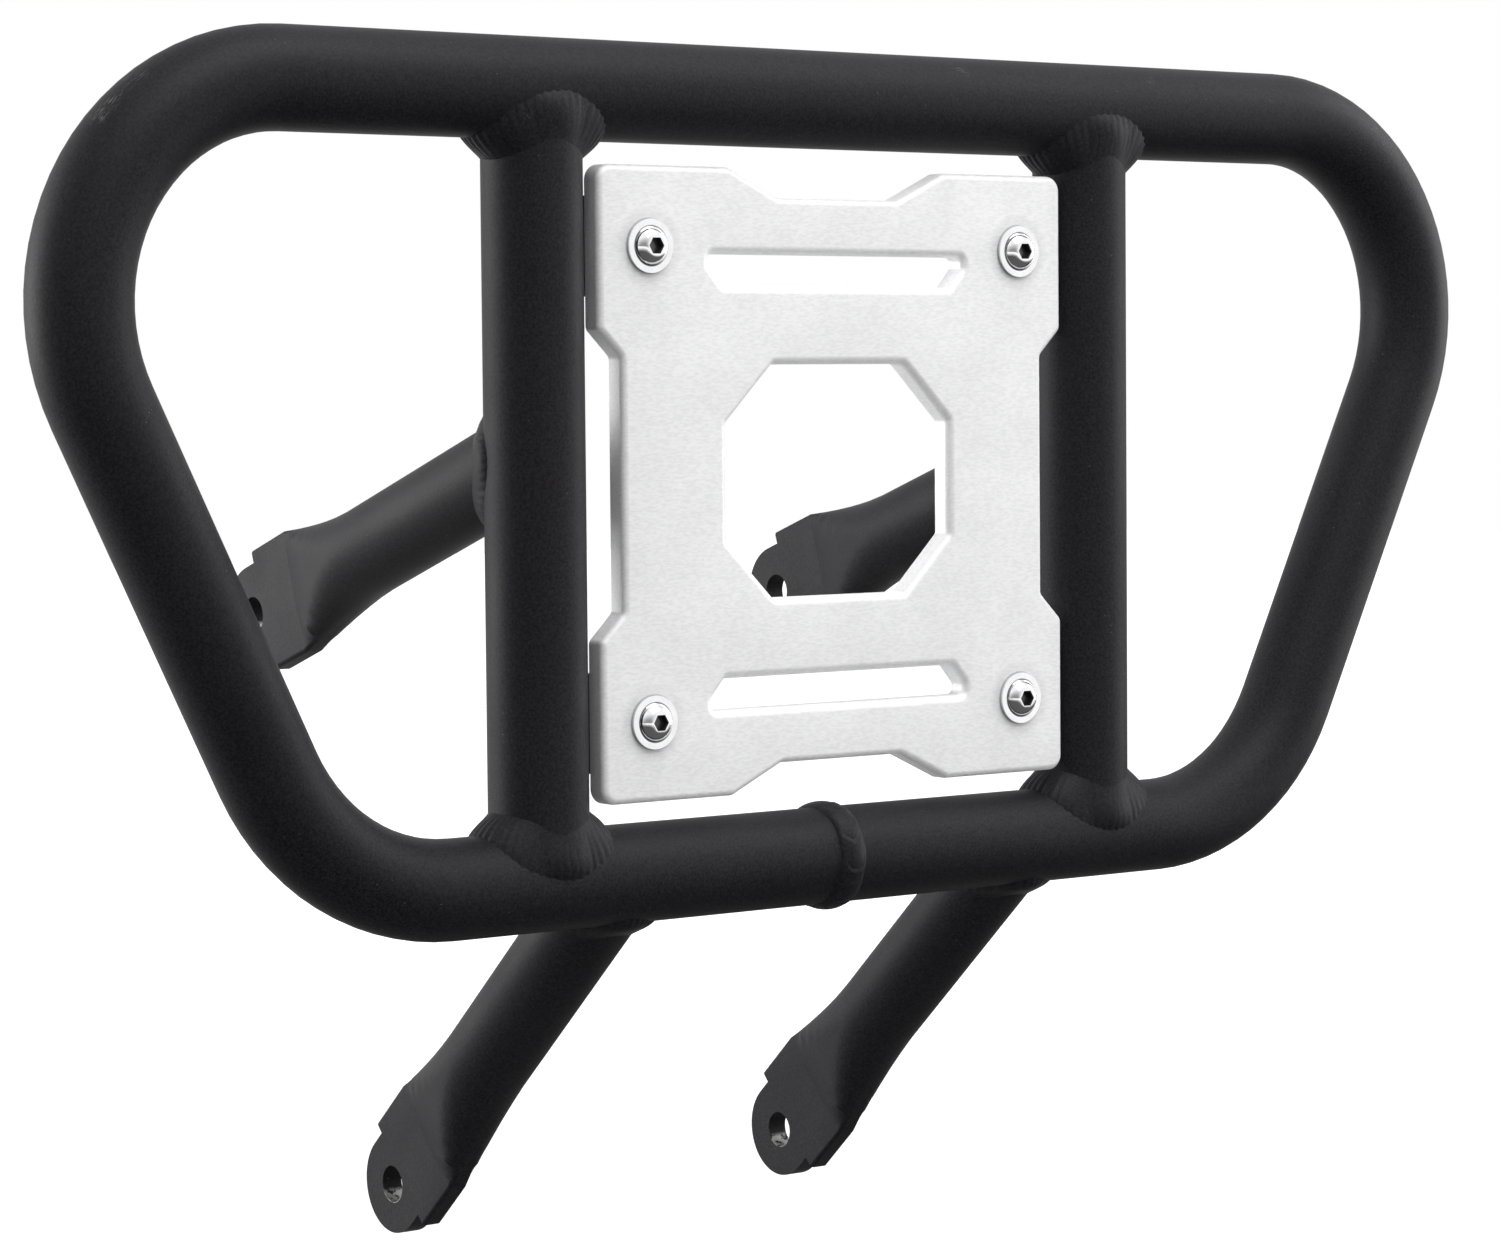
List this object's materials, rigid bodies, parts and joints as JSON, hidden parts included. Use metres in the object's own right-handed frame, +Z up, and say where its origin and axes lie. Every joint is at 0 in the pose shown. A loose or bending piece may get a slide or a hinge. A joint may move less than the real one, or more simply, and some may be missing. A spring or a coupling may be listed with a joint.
{
  "type": "atv front bumper",
  "caption": "Welded round-tube front bumper hoop with braced uprights, a bolted front plate and flattened bolt-on legs.",
  "frame": {"origin": "on the axis of the lower legs' bolt holes, halfway between the two lower legs, on the bumper's middle plane", "axes": "+X to the right in a front view, along the bolt holes and the hoop's width; +Y back towards the machine; +Z up"},
  "size_m": [0.4568, 0.1616, 0.317],
  "materials": {
    "powder_coat": "satin black powder coat with a fine grain",
    "plate": "light grey, finely mottled",
    "screws": "bright plated steel",
    "nuts": "zinc plated steel"
  },
  "bodies": {
    "root": {"hoop_tube": "powder_coat", "butt_weld": "powder_coat", "upright_left": "powder_coat", "upper_leg_left": "powder_coat", "lower_leg_left": "powder_coat", "upper_leg_weld_left": "powder_coat", "lower_leg_weld_left": "powder_coat", "upright_weld_lower_left": "powder_coat", "tab_lower_left": "powder_coat", "tab_weld_lower_left": "powder_coat", "upright_weld_upper_left": "powder_coat", "tab_upper_left": "powder_coat", "tab_weld_upper_left": "powder_coat", "upright_right": "powder_coat", "upper_leg_right": "powder_coat", "lower_leg_right": "powder_coat", "upper_leg_weld_right": "powder_coat", "lower_leg_weld_right": "powder_coat", "upright_weld_lower_right": "powder_coat", "tab_lower_right": "powder_coat", "tab_weld_lower_right": "powder_coat", "upright_weld_upper_right": "powder_coat", "tab_upper_right": "powder_coat", "tab_weld_upper_right": "powder_coat", "front_plate": "plate", "plate_screws": "screws", "plate_nuts": "nuts"}
  },
  "joints": []
}
